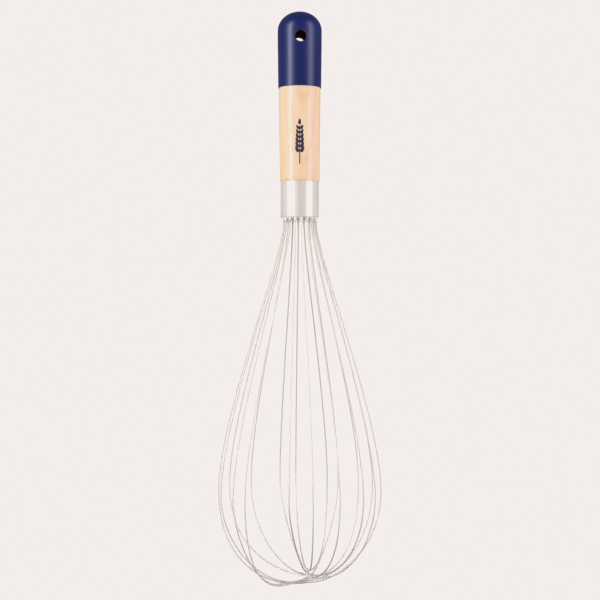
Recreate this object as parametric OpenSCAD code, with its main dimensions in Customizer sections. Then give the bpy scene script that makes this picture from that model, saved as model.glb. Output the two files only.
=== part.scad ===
// Balloon whisk: a turned wooden handle with a dipped top, a steel ferrule and nine wire loops.
// The origin is the middle of the hanging hole. The whisk hangs along -Z and the hole runs along Y.

/* [Handle] */
// Length of the handle that shows above the ferrule
handle_length = 90.8; // [80:0.1:120]
// Greatest diameter of the bare wood
handle_d = 23; // [22.5:0.1:25]
// Diameter of the wood where it meets the ferrule
handle_neck_d = 21.3; // [21:0.1:22]
// Height of the domed top
dome_height = 9.9; // [7:0.1:12]
// Length of the tenon that is glued into the ferrule
tenon_length = 8; // [6:0.5:10]

/* [Dip coating] */
// Length of the coating, from the top of the dome to its edge
coating_length = 40.9; // [30:0.1:60]
// Thickness of the coating
coating_wall = 0.3; // [0.2:0.05:0.8]

/* [Hanging hole] */
// Diameter of the hanging hole
hole_d = 6.1; // [5:0.1:8]
// Distance from the top of the whisk down to the middle of the hole
hole_depth = 14.7; // [12:0.1:20]

/* [Ferrule] */
// Outer diameter of the ferrule
ferrule_d = 20.5; // [20.2:0.1:20.8]
// Length of the ferrule
ferrule_length = 19.1; // [18:0.1:30]
// Wall of the ferrule
ferrule_wall = 0.5; // [0.4:0.05:0.6]

/* [Balloon] */
// Diameter of one wire
wire_d = 0.8; // [0.6:0.05:1]
// Diameter of the balloon at its widest, between the middles of the wires
balloon_d = 87.2; // [76:0.1:96]
// Depth of the widest point below the ferrule
widest_depth = 146.7; // [130:0.1:160]
// Depth of the lowest wire below the ferrule
balloon_depth = 196.7; // [185:0.1:210]
// How far the crossing of the wires sits off the axis
crossing_offset = 4.3; // [0:0.1:6]
// Direction in which it sits off the axis, in degrees from +X
crossing_angle = -3; // [-180:1:180]

/* [Hidden] */
$fn = 64;
clearance = 0.05;
wire_r = wire_d / 2;
wire_sides = 8;

// Heights, from the top down
top_z = hole_depth;
shoulder_z = top_z - coating_wall - dome_height;
taper_start_z = -1;
coating_edge_z = top_z - coating_length;
ferrule_top_z = top_z - handle_length;
tenon_end_z = ferrule_top_z - tenon_length;
resin_height = 3;
core_top_z = tenon_end_z - resin_height;
ferrule_end_z = ferrule_top_z - ferrule_length;
plug_length = 2.5;
core_end_z = ferrule_end_z + plug_length;
widest_z = ferrule_end_z - widest_depth;
lowest_z = ferrule_end_z - balloon_depth + wire_r;

// Radii
wood_r = handle_d / 2;
neck_r = handle_neck_d / 2;
ferrule_r = ferrule_d / 2;
inside_r = ferrule_r - ferrule_wall - clearance;
rim_gap = 0.4;
ring_r = inside_r - wire_r - rim_gap;
balloon_r = balloon_d / 2;
hole_r = hole_d / 2;

// Neck of the handle, eased in over the ferrule's edge
ease_height = 2;
ease_depth = 0.25;

// End plug: a thin flange under the ferrule's rim and a collar round each wire
plug_gap = 0.15;
flange_height = 0.4;
collar_height = 2;
collar_top_r = 0.95;
collar_end_r = 0.55;
bore_r = wire_r + 0.03;
flange_end_z = ferrule_end_z - plug_gap - flange_height;
collar_end_z = flange_end_z - collar_height;

// Hooked ends of the wires, bent inwards above the core
hook_bend_r = 0.9;
hook_length = 2.5;
hook_steps = 3;
hook_z = core_top_z + hook_bend_r;

// Curve of a leg from the ferrule to its widest point: how far each Bezier handle reaches along the height
exit_reach = 0.13;
shoulder_reach = 0.27;
leg_steps = 12;
crossing_steps = 4;

// Each loop leaves the ferrule at two opposite points, one step further round than the last
loop_count = 9;
first_angle = -28;
loop_step = -180 / loop_count;

// One row for each loop's leg: how many degrees it swings sideways by its widest point, the length of its
// straight foot beside the crossing, how full it bends above the foot, and how full below the widest point
front_legs = [
    [0, 4, 0.55, 0.55],
    [4, 4, 0.55, 0.55],
    [3, 4, 0.35, 0.75],
    [4, 4, 0.7, 0.6],
    [8, 4, 0.2, 0.35],
    [-5, 12, 0.6, 0.8],
    [3, 18, 0.5, 0.45],
    [3, 4, 0.5, 0.55],
    [5, 4, 0.4, 0.8]
];
back_legs = [
    [-2, 4, 0.4, 0.75],
    [-6, 4, 0.35, 0.7],
    [-10, 4, 0.2, 0.4],
    [-2, 4, 0.5, 0.5],
    [-6, 4, 0.65, 0.8],
    [5, 4, 0.3, 0.45],
    [6, 4, 0.7, 0.65],
    [8, 4, 0.55, 0.55],
    [2, 4, 0.3, 0.65]
];

// Order of the loops at the crossing, 0 lowest, and how far each one dips towards its front leg there, in degrees
crossing_level = [4, 5, 6, 8, 7, 3, 2, 1, 0];
crossing_dip = [3, -4, 2, -8, -9, 5, 1, 4, 6];
level_pitch = 1.1 * wire_d;

loop_names = [for (i = [1:loop_count]) str("wire_loop_", i)];

// ---- outlines -------------------------------------------------------------------------------

// Radius of the wood at a height below the shoulder
function wood_radius(z) =
    z > taper_start_z ? wood_r
    : wood_r - (wood_r - neck_r) * (taper_start_z - z) / (taper_start_z - ferrule_top_z - ease_height);

// Quarter ellipse over the shoulder, from the axis out to the side, grown by a wall
function dome(grow, steps = 16) = [
    for (i = [0:steps])
        let (a = 90 - 90 * i / steps)
        [(wood_r + grow) * cos(a), shoulder_z + (dome_height + grow) * sin(a)]
];

// ---- wires ----------------------------------------------------------------------------------

function unit(v) = v / norm(v);
function polar(r, angle, z) = [r * cos(angle), r * sin(angle), z];

function bezier(p, t) =
    p[0] * pow(1 - t, 3) + p[1] * 3 * t * pow(1 - t, 2) + p[2] * 3 * t * t * (1 - t) + p[3] * pow(t, 3);

// Points of a curve after its first one
function curve(p, steps) = [for (i = [1:steps]) bezier(p, i / steps)];

crossing = polar(crossing_offset, crossing_angle, 0);
function crossing_z(i) = lowest_z + crossing_level[i] * level_pitch;

// Point on the way from the crossing out towards the widest point of a leg
function foot_point(i, widest, reach, dip) =
    let (out = unit([widest.x - crossing.x, widest.y - crossing.y, 0]))
    crossing + out * reach + [0, 0, crossing_z(i) - reach * tan(dip)];

// One leg, from the tip of its hook down to the start of the crossing
function leg(i, exit_angle, row, dip) =
    let (
        mouth = polar(ring_r, exit_angle, collar_end_z),
        widest = polar(balloon_r, exit_angle + row[0], widest_z),
        upper = collar_end_z - widest_z,
        lower = widest_z - crossing_z(i),
        width = norm([widest.x - crossing.x, widest.y - crossing.y]),
        foot = row[1],
        corner = foot + (width - foot) * row[2]
    )
    concat(
        [polar(ring_r - hook_bend_r - hook_length, exit_angle, hook_z)],
        [for (k = [0:hook_steps])
            let (a = 90 - 90 * k / hook_steps)
            polar(ring_r - hook_bend_r * (1 - cos(a)), exit_angle, core_top_z + hook_bend_r * sin(a))],
        [mouth],
        curve([mouth, mouth - [0, 0, exit_reach * upper],
               widest + [0, 0, shoulder_reach * upper], widest], leg_steps),
        curve([widest, widest - [0, 0, row[3] * lower],
               foot_point(i, widest, corner, dip), foot_point(i, widest, foot, dip)], leg_steps)
    );

function reversed(list) = [for (k = [len(list) - 1:-1:0]) list[k]];

// The middle line of a whole loop: front leg, crossing, back leg
function loop_path(i) =
    let (
        angle = first_angle + i * loop_step,
        front = leg(i, angle, front_legs[i], crossing_dip[i]),
        back = reversed(leg(i, angle + 180, back_legs[i], -crossing_dip[i])),
        middle = crossing + [0, 0, crossing_z(i)],
        start = front[len(front) - 1],
        end = back[0],
        near = middle + unit(start - middle) * norm(end - middle),
        lead = norm(start - near) > wire_d ? [near] : [],
        bend = curve([near, (near + middle) / 2, (end + middle) / 2, end], crossing_steps)
    )
    concat(front, lead, [for (k = [0:crossing_steps - 2]) bend[k]], back);

// Sweep of a round section along a path that keeps near one upright plane
module wire(path, across) {
    last = len(path) - 1;
    rings = [
        for (k = [0:last])
            let (
                along = unit(path[min(k + 1, last)] - path[max(k - 1, 0)]),
                side = unit(cross(across, along)),
                up = cross(along, side)
            )
            for (s = [0:wire_sides - 1])
                let (a = 360 * s / wire_sides)
                path[k] + wire_r * (cos(a) * side + sin(a) * up)
    ];
    walls = [
        for (k = [0:last - 1], s = [0:wire_sides - 1])
            let (n = (s + 1) % wire_sides, a = k * wire_sides)
            each [[a + s, a + n, a + wire_sides + s], [a + n, a + wire_sides + n, a + wire_sides + s]]
    ];
    start_cap = [for (s = [wire_sides - 1:-1:0]) s];
    end_cap = [for (s = [0:wire_sides - 1]) last * wire_sides + s];
    polyhedron(rings, concat(walls, [start_cap, end_cap]), convexity = 6);
}

module wire_loop(i) {
    angle = first_angle + i * loop_step;
    color("gainsboro") wire(loop_path(i), polar(1, angle + 90, 0));
}

// ---- handle and coating ---------------------------------------------------------------------

module hanging_hole() {
    rotate([90, 0, 0]) cylinder(h = 2 * handle_d, r = hole_r, center = true);
}

module handle() {
    tenon_r = inside_r;
    ease_start_z = ferrule_top_z + ease_height;
    outline = concat(
        dome(0),
        [[wood_r, taper_start_z],
         [neck_r, ease_start_z],
         [neck_r - ease_depth / 3, ferrule_top_z + ease_height / 3],
         [neck_r - ease_depth, ferrule_top_z],
         [tenon_r, ferrule_top_z],
         [tenon_r, tenon_end_z],
         [0, tenon_end_z]]
    );
    color("burlywood") difference() {
        rotate_extrude() polygon(outline);
        hanging_hole();
    }
}

module dip_coating() {
    edge_r = wood_radius(coating_edge_z);
    lip = coating_wall / 2;
    outer = concat(
        dome(coating_wall),
        [[wood_r + coating_wall, taper_start_z],
         [wood_radius(coating_edge_z + lip) + coating_wall, coating_edge_z + lip],
         [edge_r + lip, coating_edge_z],
         [edge_r, coating_edge_z]]
    );
    inner = concat(dome(0), [[wood_r, taper_start_z]]);
    color("midnightblue") difference() {
        rotate_extrude() polygon(concat(outer, reversed(inner)));
        hanging_hole();
    }
}

// ---- ferrule and what is inside it ----------------------------------------------------------

module ferrule() {
    inner_r = ferrule_r - ferrule_wall;
    edge = 0.15;
    outline = [
        [inner_r, ferrule_top_z],
        [ferrule_r - edge, ferrule_top_z],
        [ferrule_r, ferrule_top_z - edge],
        [ferrule_r, ferrule_end_z + edge],
        [ferrule_r - edge, ferrule_end_z],
        [inner_r, ferrule_end_z]
    ];
    color("silver") rotate_extrude() polygon(outline);
}

// One shape at each of the places where a wire leaves the ferrule
module at_each_wire() {
    for (k = [0:2 * loop_count - 1])
        rotate(first_angle + k * loop_step) translate([ring_r, 0, 0]) children();
}

module resin_fill() {
    slot_w = wire_d + 4 * clearance;
    slot_length = hook_length + 2 * hook_bend_r;
    slot_height = hook_bend_r + wire_r + clearance;
    color("goldenrod") difference() {
        translate([0, 0, core_top_z]) cylinder(h = resin_height, r = inside_r);
        at_each_wire()
            translate([-slot_length, -slot_w / 2, core_top_z - slot_height])
                cube([slot_length + ferrule_wall + wire_d, slot_w, 2 * slot_height]);
    }
}

module wire_core() {
    color("ivory") difference() {
        translate([0, 0, core_end_z]) cylinder(h = core_top_z - core_end_z, r = inside_r);
        at_each_wire() translate([0, 0, core_end_z - 1]) cylinder(h = core_top_z - core_end_z + 2, r = bore_r);
    }
}

module end_plug() {
    neck_gap_r = inside_r - 0.3;
    flange_r = ferrule_r - 0.35;
    root = flange_height / 2;
    color("dimgray") difference() {
        union() {
            rotate_extrude() polygon([
                [0, core_end_z], [inside_r, core_end_z],
                [inside_r, ferrule_end_z], [neck_gap_r, ferrule_end_z],
                [neck_gap_r, ferrule_end_z - plug_gap], [flange_r, ferrule_end_z - plug_gap],
                [flange_r, flange_end_z], [0, flange_end_z]
            ]);
            at_each_wire() translate([0, 0, collar_end_z])
                cylinder(h = collar_height + root, r1 = collar_end_r, r2 = collar_top_r);
        }
        at_each_wire() translate([0, 0, collar_end_z - 1]) cylinder(h = core_end_z - collar_end_z + 2, r = bore_r);
    }
}

handle();
dip_coating();
ferrule();
resin_fill();
wire_core();
end_plug();
for (i = [0:loop_count - 1])
    wire_loop(i);
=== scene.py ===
import math

import bpy
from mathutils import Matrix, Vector


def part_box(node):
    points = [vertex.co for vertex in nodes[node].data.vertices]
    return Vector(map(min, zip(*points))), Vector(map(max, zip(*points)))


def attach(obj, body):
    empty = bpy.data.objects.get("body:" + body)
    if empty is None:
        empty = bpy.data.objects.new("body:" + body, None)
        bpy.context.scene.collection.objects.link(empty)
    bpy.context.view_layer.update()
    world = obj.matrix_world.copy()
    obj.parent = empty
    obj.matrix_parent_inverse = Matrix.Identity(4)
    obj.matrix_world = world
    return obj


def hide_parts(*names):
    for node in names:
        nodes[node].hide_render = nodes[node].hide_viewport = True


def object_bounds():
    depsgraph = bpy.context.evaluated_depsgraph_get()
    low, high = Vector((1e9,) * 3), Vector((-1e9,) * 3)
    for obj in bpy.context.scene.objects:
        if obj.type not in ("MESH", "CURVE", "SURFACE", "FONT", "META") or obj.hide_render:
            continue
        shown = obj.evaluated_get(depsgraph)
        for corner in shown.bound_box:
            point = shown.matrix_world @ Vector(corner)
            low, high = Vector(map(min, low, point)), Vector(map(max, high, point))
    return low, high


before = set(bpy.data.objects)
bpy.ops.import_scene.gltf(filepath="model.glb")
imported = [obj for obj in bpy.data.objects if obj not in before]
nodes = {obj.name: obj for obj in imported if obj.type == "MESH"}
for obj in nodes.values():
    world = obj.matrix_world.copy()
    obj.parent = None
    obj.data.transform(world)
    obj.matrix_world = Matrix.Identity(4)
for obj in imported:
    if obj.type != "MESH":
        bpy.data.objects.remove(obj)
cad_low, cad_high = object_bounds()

# The visual model of a balloon whisk, in metres. The origin is the middle of the hanging hole, which runs
# along Y. The whisk hangs along -Z, and its front faces -Y.
MM = 0.001
ROOT = "root"

# ---- sizes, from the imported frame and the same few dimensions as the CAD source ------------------

handle_low, handle_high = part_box("handle")
coat_low, coat_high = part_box("dip_coating")
ferrule_low, ferrule_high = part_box("ferrule")
plug_low, plug_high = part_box("end_plug")
core_low, core_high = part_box("wire_core")

coat_edge_z = coat_low.z
coat_wall = coat_high.x - handle_high.x
wood_r = handle_high.x
neck_r = 10.65 * MM
dome_height = 9.9 * MM
shoulder_z = handle_high.z - dome_height
taper_start_z = -1 * MM
tenon_end_z = handle_low.z
tenon_r = core_high.x
tenon_chamfer = 0.4 * MM
hole_r = 3.05 * MM
ferrule_top_z = ferrule_high.z
ferrule_end_z = ferrule_low.z
ferrule_r = ferrule_high.x
ferrule_wall = 0.5 * MM
ease_height = 2 * MM
ease_in = 0.25 * MM
ease_top_z = ferrule_top_z + ease_height
core_top_z = core_high.z
core_end_z = core_low.z
collar_end_z = plug_low.z

wire_r = 0.4 * MM
rim_gap = 0.4 * MM
ring_r = tenon_r - wire_r - rim_gap
balloon_r = 43.6 * MM
widest_depth = 146.7 * MM
balloon_depth = 196.7 * MM
widest_z = ferrule_end_z - widest_depth
lowest_z = ferrule_end_z - balloon_depth + wire_r
level_pitch = 2.2 * wire_r
crossing_offset = 4.3 * MM
crossing_angle = -3

loop_count = 9
first_angle = -28
loop_step = -180 / loop_count
exit_reach = 0.13
shoulder_reach = 0.27
hook_bend_r = 0.9 * MM
hook_length = 2.5 * MM

# For each loop's leg: its sideways swing in degrees, the straight foot beside the crossing in millimetres,
# how full it bends above the foot, and how full below the widest point
front_legs = [
    (0, 4, 0.55, 0.55),
    (4, 4, 0.55, 0.55),
    (3, 4, 0.35, 0.75),
    (4, 4, 0.7, 0.6),
    (8, 4, 0.2, 0.35),
    (-5, 12, 0.6, 0.8),
    (3, 18, 0.5, 0.45),
    (3, 4, 0.5, 0.55),
    (5, 4, 0.4, 0.8),
]
back_legs = [
    (-2, 4, 0.4, 0.75),
    (-6, 4, 0.35, 0.7),
    (-10, 4, 0.2, 0.4),
    (-2, 4, 0.5, 0.5),
    (-6, 4, 0.65, 0.8),
    (5, 4, 0.3, 0.45),
    (6, 4, 0.7, 0.65),
    (8, 4, 0.55, 0.55),
    (2, 4, 0.3, 0.65),
]
# Order of the loops at the crossing, 0 lowest, and how far each dips towards its front leg there, in degrees
crossing_level = [4, 5, 6, 8, 7, 3, 2, 1, 0]
crossing_dip = [3, -4, 2, -8, -9, 5, 1, 4, 6]

# The camera looks at the handle's front from a few degrees beside the hanging hole's axis
front_angle = -93
camera_distance = 671 * MM
camera_z = -131.7 * MM
camera_side = 0.15 * MM
camera_aim_z = -139.5 * MM
sensor_width = 36
focal_length = 75


# ---- meshes --------------------------------------------------------------------------------------

def polar(radius, angle, z):
    turn = math.radians(angle)
    return Vector((radius * math.cos(turn), radius * math.sin(turn), z))


def shade(mesh, crease):
    """Smooth shading, with sharp edges where faces meet at more than the crease angle in degrees."""
    mesh.polygons.foreach_set("use_smooth", [True] * len(mesh.polygons))
    mesh.set_sharp_from_angle(angle=math.radians(crease))


def new_piece(name, vertices, faces, crease=35):
    mesh = bpy.data.meshes.new(name)
    mesh.from_pydata(vertices, [], faces)
    shade(mesh, crease)
    mesh.update()
    piece = bpy.data.objects.new(name, mesh)
    bpy.context.scene.collection.objects.link(piece)
    return piece


def lathe_data(outline, segments, closed=False, first=0, centre=(0, 0)):
    """Vertices and faces of an outline turned about an axis along Z.

    The outline is a list of (radius, height) that runs down the outside, and first is the index of its first
    vertex.
    """
    on_axis = 1e-9
    vertices, rings, faces = [], [], []
    for radius, z in outline:
        if radius < on_axis:
            rings.append([first + len(vertices)])
            vertices.append((centre[0], centre[1], z))
            continue
        rings.append([first + len(vertices) + s for s in range(segments)])
        for s in range(segments):
            turn = 2 * math.pi * s / segments
            vertices.append((centre[0] + radius * math.cos(turn), centre[1] + radius * math.sin(turn), z))
    pairs = list(zip(rings, rings[1:])) + ([(rings[-1], rings[0])] if closed else [])
    for upper, lower in pairs:
        for s in range(segments):
            n = (s + 1) % segments
            if len(upper) == 1:
                faces.append((upper[0], lower[s], lower[n]))
            elif len(lower) == 1:
                faces.append((upper[s], lower[0], upper[n]))
            else:
                faces.append((upper[s], lower[s], lower[n], upper[n]))
    return vertices, faces


def lathe(name, outline, segments, closed=False, crease=35):
    return new_piece(name, *lathe_data(outline, segments, closed), crease=crease)


def arc(centre, radius, start, end, steps):
    """Points (radius, height) along an arc, with its angles in degrees from +radius towards +height."""
    points = []
    for k in range(steps + 1):
        turn = math.radians(start + (end - start) * k / steps)
        points.append((centre[0] + radius * math.cos(turn), centre[1] + radius * math.sin(turn)))
    return points


def ramp(start, end, steps):
    """Evenly spaced points from start up to but without end."""
    return [tuple(a + (b - a) * k / steps for a, b in zip(start, end)) for k in range(steps)]


def boolean(piece, other, operation):
    """Cuts another piece out of this one, or joins it on, and removes the other."""
    change = piece.modifiers.new(operation, "BOOLEAN")
    change.operation = operation
    change.solver = "EXACT"
    change.object = other
    depsgraph = bpy.context.evaluated_depsgraph_get()
    made = bpy.data.meshes.new_from_object(piece.evaluated_get(depsgraph))
    piece.modifiers.clear()
    old, piece.data = piece.data, made
    made.name = piece.name
    bpy.data.meshes.remove(old)
    bpy.data.objects.remove(other)


def rides(piece, slot, *replaced):
    """Puts a piece on the body in place of the CAD nodes it replaces. The slot argument is not used."""
    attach(piece, ROOT)
    if replaced:
        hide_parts(*replaced)


# ---- handle and coating --------------------------------------------------------------------------

handle_sides = 144
handle_crease = 40
side_steps = 24


def dome_radius(z, grow):
    rise = min(1, (z - shoulder_z) / (dome_height + grow))
    return (wood_r + grow) * math.sqrt(1 - rise * rise)


def wood_radius(z):
    """Radius of the wood at any height above the ferrule."""
    if z > shoulder_z:
        return dome_radius(z, 0)
    if z > taper_start_z:
        return wood_r
    if z > ease_top_z:
        return wood_r - (wood_r - neck_r) * (taper_start_z - z) / (taper_start_z - ease_top_z)
    eased = (ease_top_z - z) / (ease_top_z - ferrule_top_z)
    return neck_r - ease_in * eased * eased


def coat_radius(z):
    """Outer radius of the coating at any height."""
    return dome_radius(z, coat_wall) if z > shoulder_z else wood_radius(z) + coat_wall


def dome(grow, steps=44):
    """Outline of the domed top from its middle down to the shoulder, grown outwards."""
    points = []
    for k in range(steps + 1):
        turn = math.radians(90 - 90 * k / steps)
        points.append(((wood_r + grow) * math.cos(turn), shoulder_z + (dome_height + grow) * math.sin(turn)))
    points[0] = (0, points[0][1])
    return points


def hole_cutter(surface_radius, rim, steps=8, sides=72):
    """A bar along Y that flares where it meets the surface at either end, so that it cuts a rounded rim."""
    overshoot = 2 * MM
    widest_lean = math.radians(78)
    leans = [widest_lean * k / steps for k in range(steps, -1, -1)]
    end_to_middle = [(hole_r + 1.1 * rim, -overshoot)]
    end_to_middle += [(hole_r + rim * (1 - math.cos(lean)), rim * (1 - math.sin(lean))) for lean in leans]
    rings = [(-1, *ring) for ring in end_to_middle] + [(1, *ring) for ring in reversed(end_to_middle)]
    vertices, faces = [], []
    for sign, radius, inset in rings:
        for s in range(sides):
            turn = 2 * math.pi * s / sides
            x, z = radius * math.cos(turn), radius * math.sin(turn)
            surface = math.sqrt(max(surface_radius(z) ** 2 - x * x, 0))
            vertices.append((x, sign * (surface - inset), z))
    last = (len(rings) - 1) * sides
    for r in range(0, last, sides):
        for s in range(sides):
            n = (s + 1) % sides
            faces.append((r + s, r + sides + s, r + sides + n, r + n))
    faces.append(tuple(range(sides)))
    faces.append(tuple(last + s for s in range(sides - 1, -1, -1)))
    return new_piece("cutter", vertices, faces)


def make_handle():
    rim, taper_steps, ease_steps = 0.1 * MM, 60, 6
    side = ramp((wood_r, shoulder_z), (wood_r, taper_start_z), side_steps)[1:]
    taper = ramp((wood_r, taper_start_z), (neck_r, ease_top_z), taper_steps)
    ease_levels = [ease_top_z - ease_height * k / ease_steps for k in range(ease_steps + 1)]
    ease = [(wood_radius(z), z) for z in ease_levels]
    tenon = [
        (tenon_r, ferrule_top_z), (tenon_r, tenon_end_z + tenon_chamfer),
        (tenon_r - tenon_chamfer, tenon_end_z), (0, tenon_end_z),
    ]
    piece = lathe("beech_handle", dome(0) + side + taper + ease + tenon, handle_sides)
    boolean(piece, hole_cutter(wood_radius, rim), "DIFFERENCE")
    shade(piece.data, handle_crease)
    return piece


def make_coating():
    rim, lip, lip_steps, inside_steps = 0.18 * MM, 0.25 * MM, 6, 6
    edge_r = wood_radius(coat_edge_z)
    coated_r = wood_r + coat_wall
    side = ramp((coated_r, shoulder_z), (coated_r, taper_start_z), side_steps)[1:]
    lip_top = (coat_radius(coat_edge_z + lip), coat_edge_z + lip)
    taper = ramp((coated_r, taper_start_z), lip_top, side_steps)
    rounding = arc((lip_top[0] - lip, lip_top[1]), lip, 0, -90, lip_steps)
    inside = [(edge_r, coat_edge_z)] + ramp((edge_r, coat_edge_z), (wood_r, taper_start_z), inside_steps)[1:]
    outline = dome(coat_wall) + side + taper + rounding + inside + list(reversed(dome(0)))
    piece = lathe("navy_coating", outline, handle_sides)
    boolean(piece, hole_cutter(coat_radius, rim), "DIFFERENCE")
    shade(piece.data, handle_crease)
    return piece


# ---- printed mark: a plain ear of wheat ----------------------------------------------------------

def make_mark():
    """Small closed patches of ink, a hair proud of the wood and bent round it."""
    ink, crown = 0.03 * MM, 1.3
    centre_z = -55.6 * MM
    vertices, faces = [], []

    def on_handle(side, along, lift):
        """A point on the handle's front, with side and along in millimetres from the mark's middle."""
        z = centre_z + along * MM
        radius = wood_radius(z) + lift
        return polar(radius, front_angle + math.degrees(side * MM / radius), z)

    def patch(outline, middle):
        first, count = len(vertices), len(outline)
        for lift in (ink, -ink):
            vertices.extend(on_handle(side, along, lift) for side, along in outline)
        vertices.append(on_handle(*middle, crown * ink))
        vertices.append(on_handle(*middle, -ink))
        for k in range(count):
            n = (k + 1) % count
            faces.append((first + k, first + n, first + 2 * count))
            faces.append((first + k, first + count + k, first + count + n, first + n))
            faces.append((first + count + n, first + count + k, first + 2 * count + 1))

    def grain(side, along, lean, length, width, steps=22):
        """An oval, fuller towards its foot, whose tip leans outwards from the stem."""
        fuller = 0.35
        turn = math.radians(lean)
        outline = []
        for k in range(steps):
            angle = 2 * math.pi * k / steps
            across = width / 2 * math.sin(angle) * (1 - fuller * math.cos(angle))
            ahead = length / 2 * math.cos(angle)
            outline.append((
                side + ahead * math.sin(turn) - across * math.cos(turn),
                along + ahead * math.cos(turn) + across * math.sin(turn),
            ))
        patch(outline, (side, along))

    stem_low, stem_high, stem_half, stem_steps = -11.9, 8.4, 0.27, 28
    levels = [stem_low + (stem_high - stem_low) * k / stem_steps for k in range(stem_steps + 1)]
    for below, above in zip(levels, levels[1:]):
        outline = [(stem_half, below), (stem_half, above), (-stem_half, above), (-stem_half, below)]
        patch(outline, (0, (below + above) / 2))
    pairs, lowest, spacing, shrink = 6, -4.2, 2.35, 0.045
    reach, lean, length, width = 1.45, 27, 3.5, 1.75
    for k in range(pairs):
        size = 1 - shrink * k
        for sign in (-1, 1):
            grain(sign * reach * size, lowest + spacing * k, sign * lean, length * size, width * size)
    tip_along, tip_length, tip_width = 10.4, 3.3, 1.5
    grain(0, tip_along, 0, tip_length, tip_width)
    return new_piece("printed_mark", vertices, faces)


# ---- ferrule and plug ----------------------------------------------------------------------------

def make_ferrule():
    sides, edge, edge_steps, wall_steps = 160, 0.2 * MM, 5, 16
    inner_r = ferrule_r - ferrule_wall
    upper_z, lower_z = ferrule_top_z - edge, ferrule_end_z + edge
    outline = arc((ferrule_r - edge, upper_z), edge, 90, 0, edge_steps)
    outline += ramp((ferrule_r, upper_z), (ferrule_r, lower_z), wall_steps)[1:]
    outline += arc((ferrule_r - edge, lower_z), edge, 0, -90, edge_steps)
    outline += [(inner_r, ferrule_end_z), (inner_r, ferrule_top_z)]
    return lathe("steel_ferrule", outline, sides, closed=True, crease=50)


def wire_places():
    """Where the wires leave the ferrule, one point for each leg."""
    return [polar(ring_r, first_angle + k * loop_step, 0) for k in range(2 * loop_count)]


def joined(name, parts):
    """One piece from several closed shells. Each part is a function of the index of its first vertex."""
    vertices, faces = [], []
    for make in parts:
        more_vertices, more_faces = make(len(vertices))
        vertices += more_vertices
        faces += more_faces
    return new_piece(name, vertices, faces)


def make_plug():
    sides, soft_steps = 128, 10
    flange_height = 0.4 * MM
    gap = 0.15 * MM
    flange_r = plug_high.x
    groove = 0.3 * MM
    gap_r = tenon_r - groove
    flange_top_z = ferrule_end_z - gap
    flange_end_z = flange_top_z - flange_height
    soft = flange_height / 2
    outline = [
        (0, core_end_z), (tenon_r, core_end_z), (tenon_r, ferrule_end_z), (gap_r, ferrule_end_z),
        (gap_r, flange_top_z),
    ]
    outline += arc((flange_r - soft, flange_top_z - soft), soft, 90, -90, soft_steps)
    outline += [(0, flange_end_z)]
    piece = lathe("end_plug_visual", outline, sides)

    tip_r, root_r, tip_chamfer = 0.55 * MM, 0.95 * MM, 0.08 * MM
    collar_flare, collar_steps, collar_sides = 1.6, 10, 20
    root_z = flange_end_z + soft
    height = flange_end_z - collar_end_z
    bore_r = wire_r + 0.03 * MM

    def collar(place):
        profile = [(0, root_z)]
        for k in range(collar_steps + 1):
            down = k / collar_steps
            radius = tip_r + (root_r - tip_r) * (1 - down) ** collar_flare
            profile.append((radius, flange_end_z - (height - tip_chamfer) * down if k else root_z))
        profile += [(tip_r - tip_chamfer, collar_end_z), (0, collar_end_z)]
        return lambda first: lathe_data(profile, collar_sides, first=first, centre=place)

    def bore(place):
        above, below = core_end_z + MM, collar_end_z - MM
        profile = [(0, above), (bore_r, above), (bore_r, below), (0, below)]
        return lambda first: lathe_data(profile, collar_sides, first=first, centre=place)

    boolean(piece, joined("collars", [collar(p.xy) for p in wire_places()]), "UNION")
    boolean(piece, joined("bores", [bore(p.xy) for p in wire_places()]), "DIFFERENCE")
    shade(piece.data, 45)
    return piece


# ---- wires ---------------------------------------------------------------------------------------

def bezier(points, t):
    a, b, c, d = points
    return a * (1 - t) ** 3 + b * (3 * t * (1 - t) ** 2) + c * (3 * t * t * (1 - t)) + d * t ** 3


def curve(points, steps):
    """Points along a cubic curve, without its first."""
    return [bezier(points, k / steps) for k in range(1, steps + 1)]


crossing = polar(crossing_offset, crossing_angle, 0)


def leg(i, exit_angle, row, dip):
    """The middle line of one leg, from the tip of its hook down to the start of the crossing."""
    swing, foot, bottom_fullness, belly_fullness = row
    foot = foot * MM
    crossing_z = lowest_z + crossing_level[i] * level_pitch
    mouth = polar(ring_r, exit_angle, collar_end_z)
    widest = polar(balloon_r, exit_angle + swing, widest_z)
    upper = collar_end_z - widest_z
    lower = widest_z - crossing_z
    out = Vector((widest.x - crossing.x, widest.y - crossing.y, 0))
    width = out.length
    out.normalize()

    def foot_point(reach):
        return crossing + out * reach + Vector((0, 0, crossing_z - reach * math.tan(math.radians(dip))))

    corner = foot + (width - foot) * bottom_fullness
    up = Vector((0, 0, 1))
    path = [polar(ring_r - hook_bend_r - hook_length, exit_angle, core_top_z + hook_bend_r)]
    bend_steps, straight_steps, upper_steps, lower_steps = 8, 6, 70, 60
    for k in range(bend_steps + 1):
        turn = math.radians(90 - 90 * k / bend_steps)
        bend_r = ring_r - hook_bend_r * (1 - math.cos(turn))
        path.append(polar(bend_r, exit_angle, core_top_z + hook_bend_r * math.sin(turn)))
    path += [path[-1].lerp(mouth, k / straight_steps) for k in range(1, straight_steps + 1)]
    leaving, arriving = mouth - up * (exit_reach * upper), widest + up * (shoulder_reach * upper)
    path += curve((mouth, leaving, arriving, widest), upper_steps)
    belly = widest - up * (belly_fullness * lower)
    path += curve((widest, belly, foot_point(corner), foot_point(foot)), lower_steps)
    return path


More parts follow.
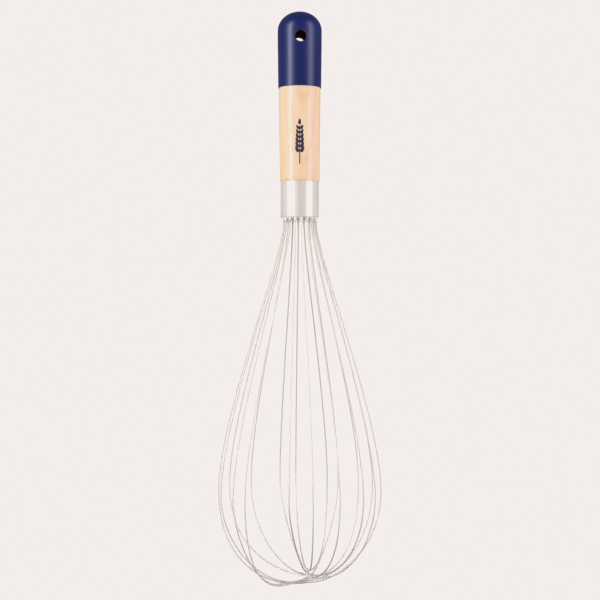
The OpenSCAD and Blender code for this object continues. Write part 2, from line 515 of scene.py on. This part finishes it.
def loop_path(i):
    """The middle line of a whole loop: down its front leg, through the crossing and up its back leg."""
    lead_steps, bend_steps = 12, 16
    angle = first_angle + i * loop_step
    front = leg(i, angle, front_legs[i], crossing_dip[i])
    back = leg(i, angle + 180, back_legs[i], -crossing_dip[i])[::-1]
    middle = crossing + Vector((0, 0, lowest_z + crossing_level[i] * level_pitch))
    start, end = front[-1], back[0]
    reach = (end - middle).length
    near = middle + (start - middle).normalized() * reach
    lead = []
    if (start - near).length > 2 * wire_r:
        lead = [start.lerp(near, k / lead_steps) for k in range(1, lead_steps + 1)]
    bend = curve((near, (near + middle) / 2, (end + middle) / 2, end), bend_steps)
    return front + lead + bend[:-1] + back


def make_wire(i, sides=14):
    """A round tube along the loop. The wire_coord attribute holds the distance along and the way round."""
    path = loop_path(i)
    across = polar(1, first_angle + i * loop_step + 90, 0)
    last = len(path) - 1
    vertices, coords, travelled = [], [], 0.0
    for k, point in enumerate(path):
        along = (path[min(k + 1, last)] - path[max(k - 1, 0)]).normalized()
        side = across.cross(along).normalized()
        up = along.cross(side)
        travelled += (point - path[k - 1]).length if k else 0
        for s in range(sides):
            turn = 2 * math.pi * s / sides
            vertices.append(point + wire_r * (math.cos(turn) * side + math.sin(turn) * up))
            coords += [travelled, math.cos(turn) * wire_r, math.sin(turn) * wire_r]
    end = last * sides
    faces = [
        (r + s, r + (s + 1) % sides, r + sides + (s + 1) % sides, r + sides + s)
        for r in range(0, end, sides) for s in range(sides)
    ]
    faces.append(tuple(range(sides - 1, -1, -1)))
    faces.append(tuple(end + s for s in range(sides)))
    piece = new_piece(f"steel_loop_{i + 1}", vertices, faces, crease=60)
    piece.data.attributes.new("wire_coord", "FLOAT_VECTOR", "POINT").data.foreach_set("vector", coords)
    return piece


# ---- materials -----------------------------------------------------------------------------------

class Look:
    """A material whose colour, roughness and bump are built from nodes."""

    def __init__(self, name, **values):
        self.material = bpy.data.materials.new(name)
        self.material.use_nodes = True
        self.tree = self.material.node_tree
        self.shader = self.tree.nodes["Principled BSDF"]
        for socket, value in values.items():
            self.shader.inputs[socket.replace("_", " ")].default_value = value

    def node(self, kind, inputs=None, **settings):
        """A new node. Each input, by name or index, is a plain value or another node's output."""
        made = self.tree.nodes.new("ShaderNode" + kind)
        for name, value in settings.items():
            setattr(made, name, value)
        for key, value in (inputs or {}).items():
            if isinstance(value, bpy.types.NodeSocket):
                self.tree.links.new(value, made.inputs[key])
            else:
                made.inputs[key].default_value = value
        return made

    def link(self, output, socket):
        self.tree.links.new(output, self.shader.inputs[socket])

    def place(self, scale=(1, 1, 1), turn=(0, 0, 0), shift=(0, 0, 0), source=None):
        """Coordinates of the surface, scaled per metre."""
        vector = source or self.node("TexCoord").outputs["Object"]
        return self.node("Mapping", {
            "Vector": vector, "Scale": scale, "Rotation": turn, "Location": shift,
        }).outputs[0]

    def noise(self, vector, scale=1.0, detail=3.0, rough=0.5, warp=0.0):
        return self.node("TexNoise", {
            "Vector": vector, "Scale": scale, "Detail": detail, "Roughness": rough, "Distortion": warp,
        }).outputs["Fac"]

    def span(self, value, low, high, to_low=0.0, to_high=1.0, smooth=False):
        return self.node("MapRange", {
            "Value": value, "From Min": low, "From Max": high, "To Min": to_low, "To Max": to_high,
        }, interpolation_type="SMOOTHSTEP" if smooth else "LINEAR").outputs[0]

    def blend(self, amount, a, b):
        """Two colours mixed by an amount from 0 to 1. The inputs go by index, as their names repeat."""
        return self.node("Mix", {0: amount, 6: a, 7: b}, data_type="RGBA").outputs[2]

    def maths(self, operation, a, b=0.0):
        return self.node("Math", {0: a, 1: b}, operation=operation).outputs[0]

    def bump(self, height, distance, strength=1.0):
        bumped = self.node("Bump", {"Height": height, "Distance": distance, "Strength": strength})
        self.link(bumped.outputs[0], "Normal")


def rgb(red, green, blue):
    return (red, green, blue, 1.0)


def beech_look():
    """Pale lacquered beech: growth rings, long fibres, short dark flecks and soft patches of tone."""
    look = Look("beech", IOR=1.6, Specular_Tint=rgb(0.6, 0.55, 1.0), Coat_Weight=0.15, Coat_Roughness=0.3)
    cream, honey, streak_tone = rgb(0.80, 0.565, 0.37), rgb(0.86, 0.63, 0.44), rgb(0.80, 0.53, 0.30)
    late_tone, fibre_tone, fleck_tone = rgb(0.68, 0.43, 0.225), rgb(0.90, 0.72, 0.54), rgb(0.40, 0.21, 0.095)
    tilt = (math.radians(2.2), math.radians(-1.1), 0)
    rings_per_metre, ring_waver = 520.0, 1.6
    waver = look.noise(look.place((55, 55, 9)), detail=2.0)
    pith = look.place((1, 1, 1), turn=tilt, shift=(0.004, -0.034, 0))
    split = look.node("SeparateXYZ", {"Vector": pith})
    from_pith = look.maths("SQRT", look.maths(
        "ADD", look.maths("MULTIPLY", split.outputs[0], split.outputs[0]),
        look.maths("MULTIPLY", split.outputs[1], split.outputs[1])))
    wavering = look.maths("MULTIPLY", waver, ring_waver)
    rings = look.maths("ADD", look.maths("MULTIPLY", from_pith, rings_per_metre), wavering)
    ring = look.maths("FRACT", rings)
    late = look.span(ring, 0.55, 0.96, smooth=True)
    late = look.maths("MULTIPLY", late, look.span(ring, 1.0, 0.97))
    fibres = look.noise(look.place((2600, 2600, 60)), detail=4.0, rough=0.65)
    streaks = look.noise(look.place((520, 520, 12)), detail=3.0)
    patches = look.noise(look.place((140, 140, 26)), detail=2.0)
    colour = look.blend(look.span(patches, 0.32, 0.68, smooth=True), cream, honey)
    colour = look.blend(look.span(streaks, 0.36, 0.66, 0.0, 0.55), colour, streak_tone)
    colour = look.blend(look.maths("MULTIPLY", late, 0.38), colour, late_tone)
    colour = look.blend(look.span(fibres, 0.3, 0.72, 0.0, 0.34), colour, fibre_tone)
    fleck_field = look.noise(look.place((1500, 1500, 210)), detail=1.0, rough=0.4)
    fleck = look.span(fleck_field, 0.66, 0.72, smooth=True)
    colour = look.blend(look.maths("MULTIPLY", fleck, 0.42), colour, fleck_tone)
    look.link(colour, "Base Color")
    look.link(look.span(fibres, 0.25, 0.75, 0.4, 0.32), "Roughness")
    height = look.maths("SUBTRACT", look.maths("MULTIPLY", fibres, 0.35), look.maths("MULTIPLY", fleck, 0.6))
    look.bump(height, 0.015 * MM, 0.6)
    return look.material


def drilled_look():
    """The wall of the drilled hole: bare orange-brown wood by its mouths, painted shade that turns it nearly
    black deeper inside, drill marks.
    """
    look = Look("drilled_wood", Specular_IOR_Level=0.05)
    mouth_tone, hole_shade_tone = rgb(0.46, 0.14, 0.035), rgb(0.012, 0.006, 0.004)
    depth = look.maths("ABSOLUTE", look.node("SeparateXYZ", {"Vector": look.place()}).outputs[1])
    chatter = look.noise(look.place((300, 2400, 300)), detail=3.0)
    uneven = look.maths("ADD", depth, look.maths("MULTIPLY", chatter, 1.2 * MM))
    # Painted shade: the wall darkens to nearly black deeper into the hole
    hole_shade = look.span(uneven, wood_r + 0.1 * MM, wood_r - 1.6 * MM, smooth=True)
    colour = look.blend(hole_shade, mouth_tone, hole_shade_tone)
    look.link(colour, "Base Color")
    look.link(look.span(chatter, 0.3, 0.7, 0.85, 1.0), "Roughness")
    look.bump(chatter, 0.03 * MM, 0.6)
    return look.material


def coating_look():
    """Dark blue dip: faint tone drift, orange-peel waviness, rub marks that run with the handle."""
    look = Look("navy_dip", IOR=1.6, Specular_Tint=rgb(0.76, 0.81, 1.0))
    deep, bright, rubbed = rgb(0.0035, 0.0085, 0.088), rgb(0.0055, 0.0125, 0.108), rgb(0.016, 0.022, 0.10)
    drift = look.noise(look.place((70, 70, 30)), detail=2.0)
    rub = look.noise(look.place((900, 900, 70)), detail=4.0, rough=0.7)
    colour = look.blend(look.span(drift, 0.3, 0.7), deep, bright)
    colour = look.blend(look.span(rub, 0.62, 0.8, 0.0, 0.25), colour, rubbed)
    look.link(colour, "Base Color")
    look.link(look.span(rub, 0.3, 0.75, 0.33, 0.40), "Roughness")
    peel = look.noise(look.place((1100, 1100, 1100)), detail=2.0)
    wave = look.noise(look.place((260, 260, 160)), detail=1.0)
    look.bump(look.maths("ADD", look.maths("MULTIPLY", peel, 0.35), wave), 0.02 * MM, 0.5)
    return look.material


def ink_look():
    """Dark printed ink, thinner where the wood's fibres stand proud."""
    look = Look("ink", IOR=1.4)
    dense, thin = rgb(0.018, 0.015, 0.034), rgb(0.045, 0.038, 0.068)
    grain = look.noise(look.place((1800, 1800, 130)), detail=3.0, rough=0.6)
    look.link(look.blend(look.span(grain, 0.3, 0.75), dense, thin), "Base Color")
    look.link(look.span(grain, 0.3, 0.7, 0.5, 0.64), "Roughness")
    look.bump(grain, 0.01 * MM, 0.5)
    return look.material


def ferrule_look():
    """Satin stainless, brushed lengthwise: fine streaks in tone, gloss and relief."""
    look = Look("ferrule_steel", Metallic=0.3, Anisotropic=0.5)
    dull, clean = rgb(0.66, 0.635, 0.615), rgb(0.78, 0.76, 0.745)
    fine = look.noise(look.place((5200, 5200, 26)), detail=3.0, rough=0.6)
    broad = look.noise(look.place((900, 900, 7)), detail=2.0)
    smudge = look.noise(look.place((120, 120, 90)), detail=3.0)
    tone = look.maths("ADD", look.maths("MULTIPLY", fine, 0.6), look.maths("MULTIPLY", broad, 0.4))
    look.link(look.blend(look.span(tone, 0.35, 0.65), dull, clean), "Base Color")
    rough = look.maths("ADD", look.span(fine, 0.3, 0.7, 0.27, 0.35), look.span(smudge, 0.35, 0.7, 0.0, 0.04))
    look.link(rough, "Roughness")
    tangent = look.node("Tangent", direction_type="RADIAL", axis="Z")
    look.link(tangent.outputs[0], "Tangent")
    look.bump(fine, 0.003 * MM, 0.4)
    return look.material


def wire_look():
    """Drawn stainless wire: die lines along its length and a slow drift of tone."""
    look = Look("wire_steel", Metallic=0.35)
    dull, clean = rgb(0.66, 0.62, 0.60), rgb(0.78, 0.745, 0.725)
    along = look.node("Attribute", attribute_name="wire_coord").outputs["Vector"]
    lines = look.noise(look.place((40, 9000, 9000), source=along), detail=3.0, rough=0.6)
    drift = look.noise(look.place((90, 700, 700), source=along), detail=3.0)
    look.link(look.blend(look.span(lines, 0.3, 0.7), dull, clean), "Base Color")
    rough = look.maths("ADD", look.span(lines, 0.3, 0.7, 0.42, 0.52), look.span(drift, 0.35, 0.7, 0.0, 0.07))
    look.link(rough, "Roughness")
    look.bump(lines, 0.004 * MM, 0.5)
    return look.material


def plug_look():
    """Pale grey moulded seal, slightly mottled, with painted shade that darkens the tips of its collars."""
    look = Look("plug_seal", IOR=1.45)
    grey, pale, speck = rgb(0.76, 0.735, 0.72), rgb(0.84, 0.82, 0.805), rgb(0.86, 0.845, 0.83)
    tip_shade_tone = rgb(0.16, 0.145, 0.135)
    mottle = look.noise(look.place((900, 900, 900)), detail=4.0, rough=0.6)
    cloud = look.noise(look.place((260, 260, 260)), detail=2.0)
    colour = look.blend(look.span(cloud, 0.3, 0.7), grey, pale)
    colour = look.blend(look.span(mottle, 0.45, 0.75, 0.0, 0.5), colour, speck)
    height = look.node("SeparateXYZ", {"Vector": look.place()}).outputs[2]
    # Painted shade: the collar tips turn dark grey towards their ends
    tip = look.span(height, collar_end_z + 0.9 * MM, collar_end_z + 0.1 * MM, 0.0, 0.4, smooth=True)
    colour = look.blend(tip, colour, tip_shade_tone)
    look.link(colour, "Base Color")
    look.link(look.span(mottle, 0.3, 0.7, 0.42, 0.58), "Roughness")
    look.bump(mottle, 0.02 * MM, 0.5)
    return look.material


def resin_look():
    """Amber casting resin with clouds and small bubbles."""
    look = Look("resin", IOR=1.53, Transmission_Weight=0.25, Coat_Weight=0.3)
    amber, honey, bubble_tone = rgb(0.42, 0.24, 0.07), rgb(0.66, 0.45, 0.18), rgb(0.85, 0.70, 0.42)
    cloud = look.noise(look.place((300, 300, 300)), detail=4.0)
    bubbles = look.node("TexVoronoi", {"Vector": look.place((1100, 1100, 1100))}).outputs["Distance"]
    colour = look.blend(look.span(cloud, 0.3, 0.7), amber, honey)
    colour = look.blend(look.span(bubbles, 0.12, 0.08, 0.0, 0.5), colour, bubble_tone)
    look.link(colour, "Base Color")
    look.link(look.span(cloud, 0.3, 0.7, 0.12, 0.3), "Roughness")
    look.bump(bubbles, 0.03 * MM, 0.4)
    return look.material


def nylon_look():
    """Natural moulded nylon with a fine matte texture and faint flow marks."""
    look = Look("core_nylon", IOR=1.5)
    shade_tone, light_tone = rgb(0.72, 0.68, 0.57), rgb(0.82, 0.79, 0.70)
    grit = look.noise(look.place((2200, 2200, 2200)), detail=3.0)
    flow = look.noise(look.place((240, 240, 90)), detail=3.0, warp=0.8)
    look.link(look.blend(look.span(flow, 0.3, 0.7), shade_tone, light_tone), "Base Color")
    look.link(look.span(grit, 0.3, 0.7, 0.48, 0.62), "Roughness")
    look.bump(grit, 0.01 * MM, 0.5)
    return look.material


def paint(piece, material):
    piece.data.materials.clear()
    piece.data.materials.append(material)


def paint_kept(node, material):
    """Gives a CAD node that stays its material, on the object's own slots."""
    piece = nodes[node]
    if not piece.material_slots:
        piece.data.materials.append(material)
    for place in piece.material_slots:
        place.link = "OBJECT"
        place.material = material


# ---- the object ----------------------------------------------------------------------------------

handle = make_handle()
paint(handle, beech_look())
handle.data.materials.append(drilled_look())
hole_reach = hole_r + 0.05 * MM
for face in handle.data.polygons:
    if math.hypot(face.center.x, face.center.z) < hole_reach and abs(face.center.y) < wood_r:
        face.material_index = 1
rides(handle, "beech", "handle")

coating = make_coating()
paint(coating, coating_look())
rides(coating, "navy_dip", "dip_coating")

mark = make_mark()
paint(mark, ink_look())
rides(mark, "navy_dip")

ferrule = make_ferrule()
paint(ferrule, ferrule_look())
rides(ferrule, "ferrule_steel", "ferrule")

plug = make_plug()
paint(plug, plug_look())
rides(plug, "plug_seal", "end_plug")

wire_material = wire_look()
for i in range(loop_count):
    loop = make_wire(i)
    paint(loop, wire_material)
    rides(loop, "wire_steel", f"wire_loop_{i + 1}")

paint_kept("resin_fill", resin_look())
paint_kept("wire_core", nylon_look())

# ---- studio --------------------------------------------------------------------------------------

# The paper is a warm off-white, and nothing can be brighter than it
paper_tint = (0.896, 0.855, 0.831)
paper_glow = 1.05
fill_ahead, fill_behind = 0.13, 0.22
ahead_from, behind_from = 0.1, -0.9
floor_gap = 0.12
floor_half = 3.0

# For each lamp: its angle from the camera's side, positive to the right, its distance, width, bottom height,
# top height and watts, and whether it shows in reflections
soft_lights = {
    "soft_box_left": (-52, 1.0, 0.22, -0.4, 0.95, 13, True),
    "soft_box_right": (60, 1.0, 0.44, -0.4, 0.95, 8.6, True),
    "left_fill": (-105, 1.2, 1.2, -1.0, 0.8, 8, False),
    "right_fill": (100, 1.2, 1.2, -1.0, 0.8, 12.5, False),
    "front_fill": (0, 1.3, 1.6, -1.3, 0.6, 7.5, False),
    "back_fill": (180, 1.3, 1.6, -1.0, 0.7, 12, False),
}

scene = bpy.context.scene


def set_tone():
    view = scene.view_settings
    view.view_transform = "Standard"
    view.look = "None"
    view.use_curve_mapping = True
    tone = view.curve_mapping
    tone.extend = "HORIZONTAL"
    for channel, white in zip(tone.curves, paper_tint):
        channel.points[1].location = (1.0, white)
    tone.update()


def make_world():
    """White behind the whisk, and a dim room in its reflections that is lighter behind it than in front."""
    world = bpy.data.worlds.new("studio")
    scene.world = world
    world.use_nodes = True
    tree = world.node_tree
    tree.nodes.clear()
    out = tree.nodes.new("ShaderNodeOutputWorld")
    mix = tree.nodes.new("ShaderNodeMixShader")
    rays = tree.nodes.new("ShaderNodeLightPath")
    fill = tree.nodes.new("ShaderNodeBackground")
    seen = tree.nodes.new("ShaderNodeBackground")
    ahead = tree.nodes.new("ShaderNodeVectorMath")
    level = tree.nodes.new("ShaderNodeMapRange")
    direction = tree.nodes.new("ShaderNodeTexCoord").outputs["Generated"]
    ahead.operation = "DOT_PRODUCT"
    ahead.inputs[1].default_value = polar(1, front_angle, 0)
    level.interpolation_type = "SMOOTHSTEP"
    levels = {"From Min": behind_from, "From Max": ahead_from, "To Min": fill_behind, "To Max": fill_ahead}
    for socket, value in levels.items():
        level.inputs[socket].default_value = value
    fill.inputs["Color"].default_value = rgb(1.0, 0.99, 0.98)
    seen.inputs["Color"].default_value = rgb(1, 1, 1)
    seen.inputs["Strength"].default_value = paper_glow
    tree.links.new(direction, ahead.inputs[0])
    tree.links.new(ahead.outputs["Value"], level.inputs["Value"])
    tree.links.new(level.outputs[0], fill.inputs["Strength"])
    tree.links.new(rays.outputs["Is Camera Ray"], mix.inputs[0])
    tree.links.new(fill.outputs[0], mix.inputs[1])
    tree.links.new(seen.outputs[0], mix.inputs[2])
    tree.links.new(mix.outputs[0], out.inputs[0])


def make_floor(steps=6):
    """A plain sheet of paper under the whisk that the camera sees and that lights nothing."""
    row = steps + 1
    z = cad_low.z - floor_gap
    vertices = [
        (floor_half * (2 * a / steps - 1), floor_half * (2 * b / steps - 1), z)
        for b in range(row) for a in range(row)
    ]
    corners = [r * row + c for r in range(steps) for c in range(steps)]
    floor = new_piece("floor", vertices, [(k, k + 1, k + row + 1, k + row) for k in corners])
    paper = bpy.data.materials.new("paper")
    paper.use_nodes = True
    tree = paper.node_tree
    tree.nodes.clear()
    glow = tree.nodes.new("ShaderNodeEmission")
    glow.inputs["Strength"].default_value = paper_glow
    out = tree.nodes.new("ShaderNodeOutputMaterial")
    tree.links.new(glow.outputs[0], out.inputs[0])
    paint(floor, paper)
    floor.visible_diffuse = False
    floor.visible_glossy = False
    floor.visible_shadow = False
    return floor


def soft_light(name, angle, distance, width, low_z, high_z, watts, mirrored):
    """A tall soft box that faces the whisk's axis."""
    data = bpy.data.lights.new(name, "AREA")
    data.shape = "RECTANGLE"
    data.size = width
    data.size_y = high_z - low_z
    data.energy = watts
    light = bpy.data.objects.new(name, data)
    scene.collection.objects.link(light)
    light.location = polar(distance, front_angle + angle, (low_z + high_z) / 2)
    inward = -polar(1, front_angle + angle, 0)
    light.rotation_euler = inward.to_track_quat("-Z", "Y").to_euler()
    light.visible_camera = False
    light.visible_glossy = mirrored


set_tone()
make_world()
floor = make_floor()
for light_name, row in soft_lights.items():
    soft_light(light_name, *row)

camera_data = bpy.data.cameras.new("camera")
camera_data.sensor_width = sensor_width
camera_data.lens = focal_length
camera_data.clip_start = 0.01
camera = bpy.data.objects.new("camera", camera_data)
scene.collection.objects.link(camera)
back = polar(1, front_angle, 0)
aside = polar(1, front_angle + 90, 0)
camera.location = back * camera_distance + aside * camera_side + Vector((0, 0, camera_z))
aim = aside * camera_side + Vector((0, 0, camera_aim_z))
camera.rotation_euler = (aim - camera.location).to_track_quat("-Z", "Y").to_euler()
scene.camera = camera
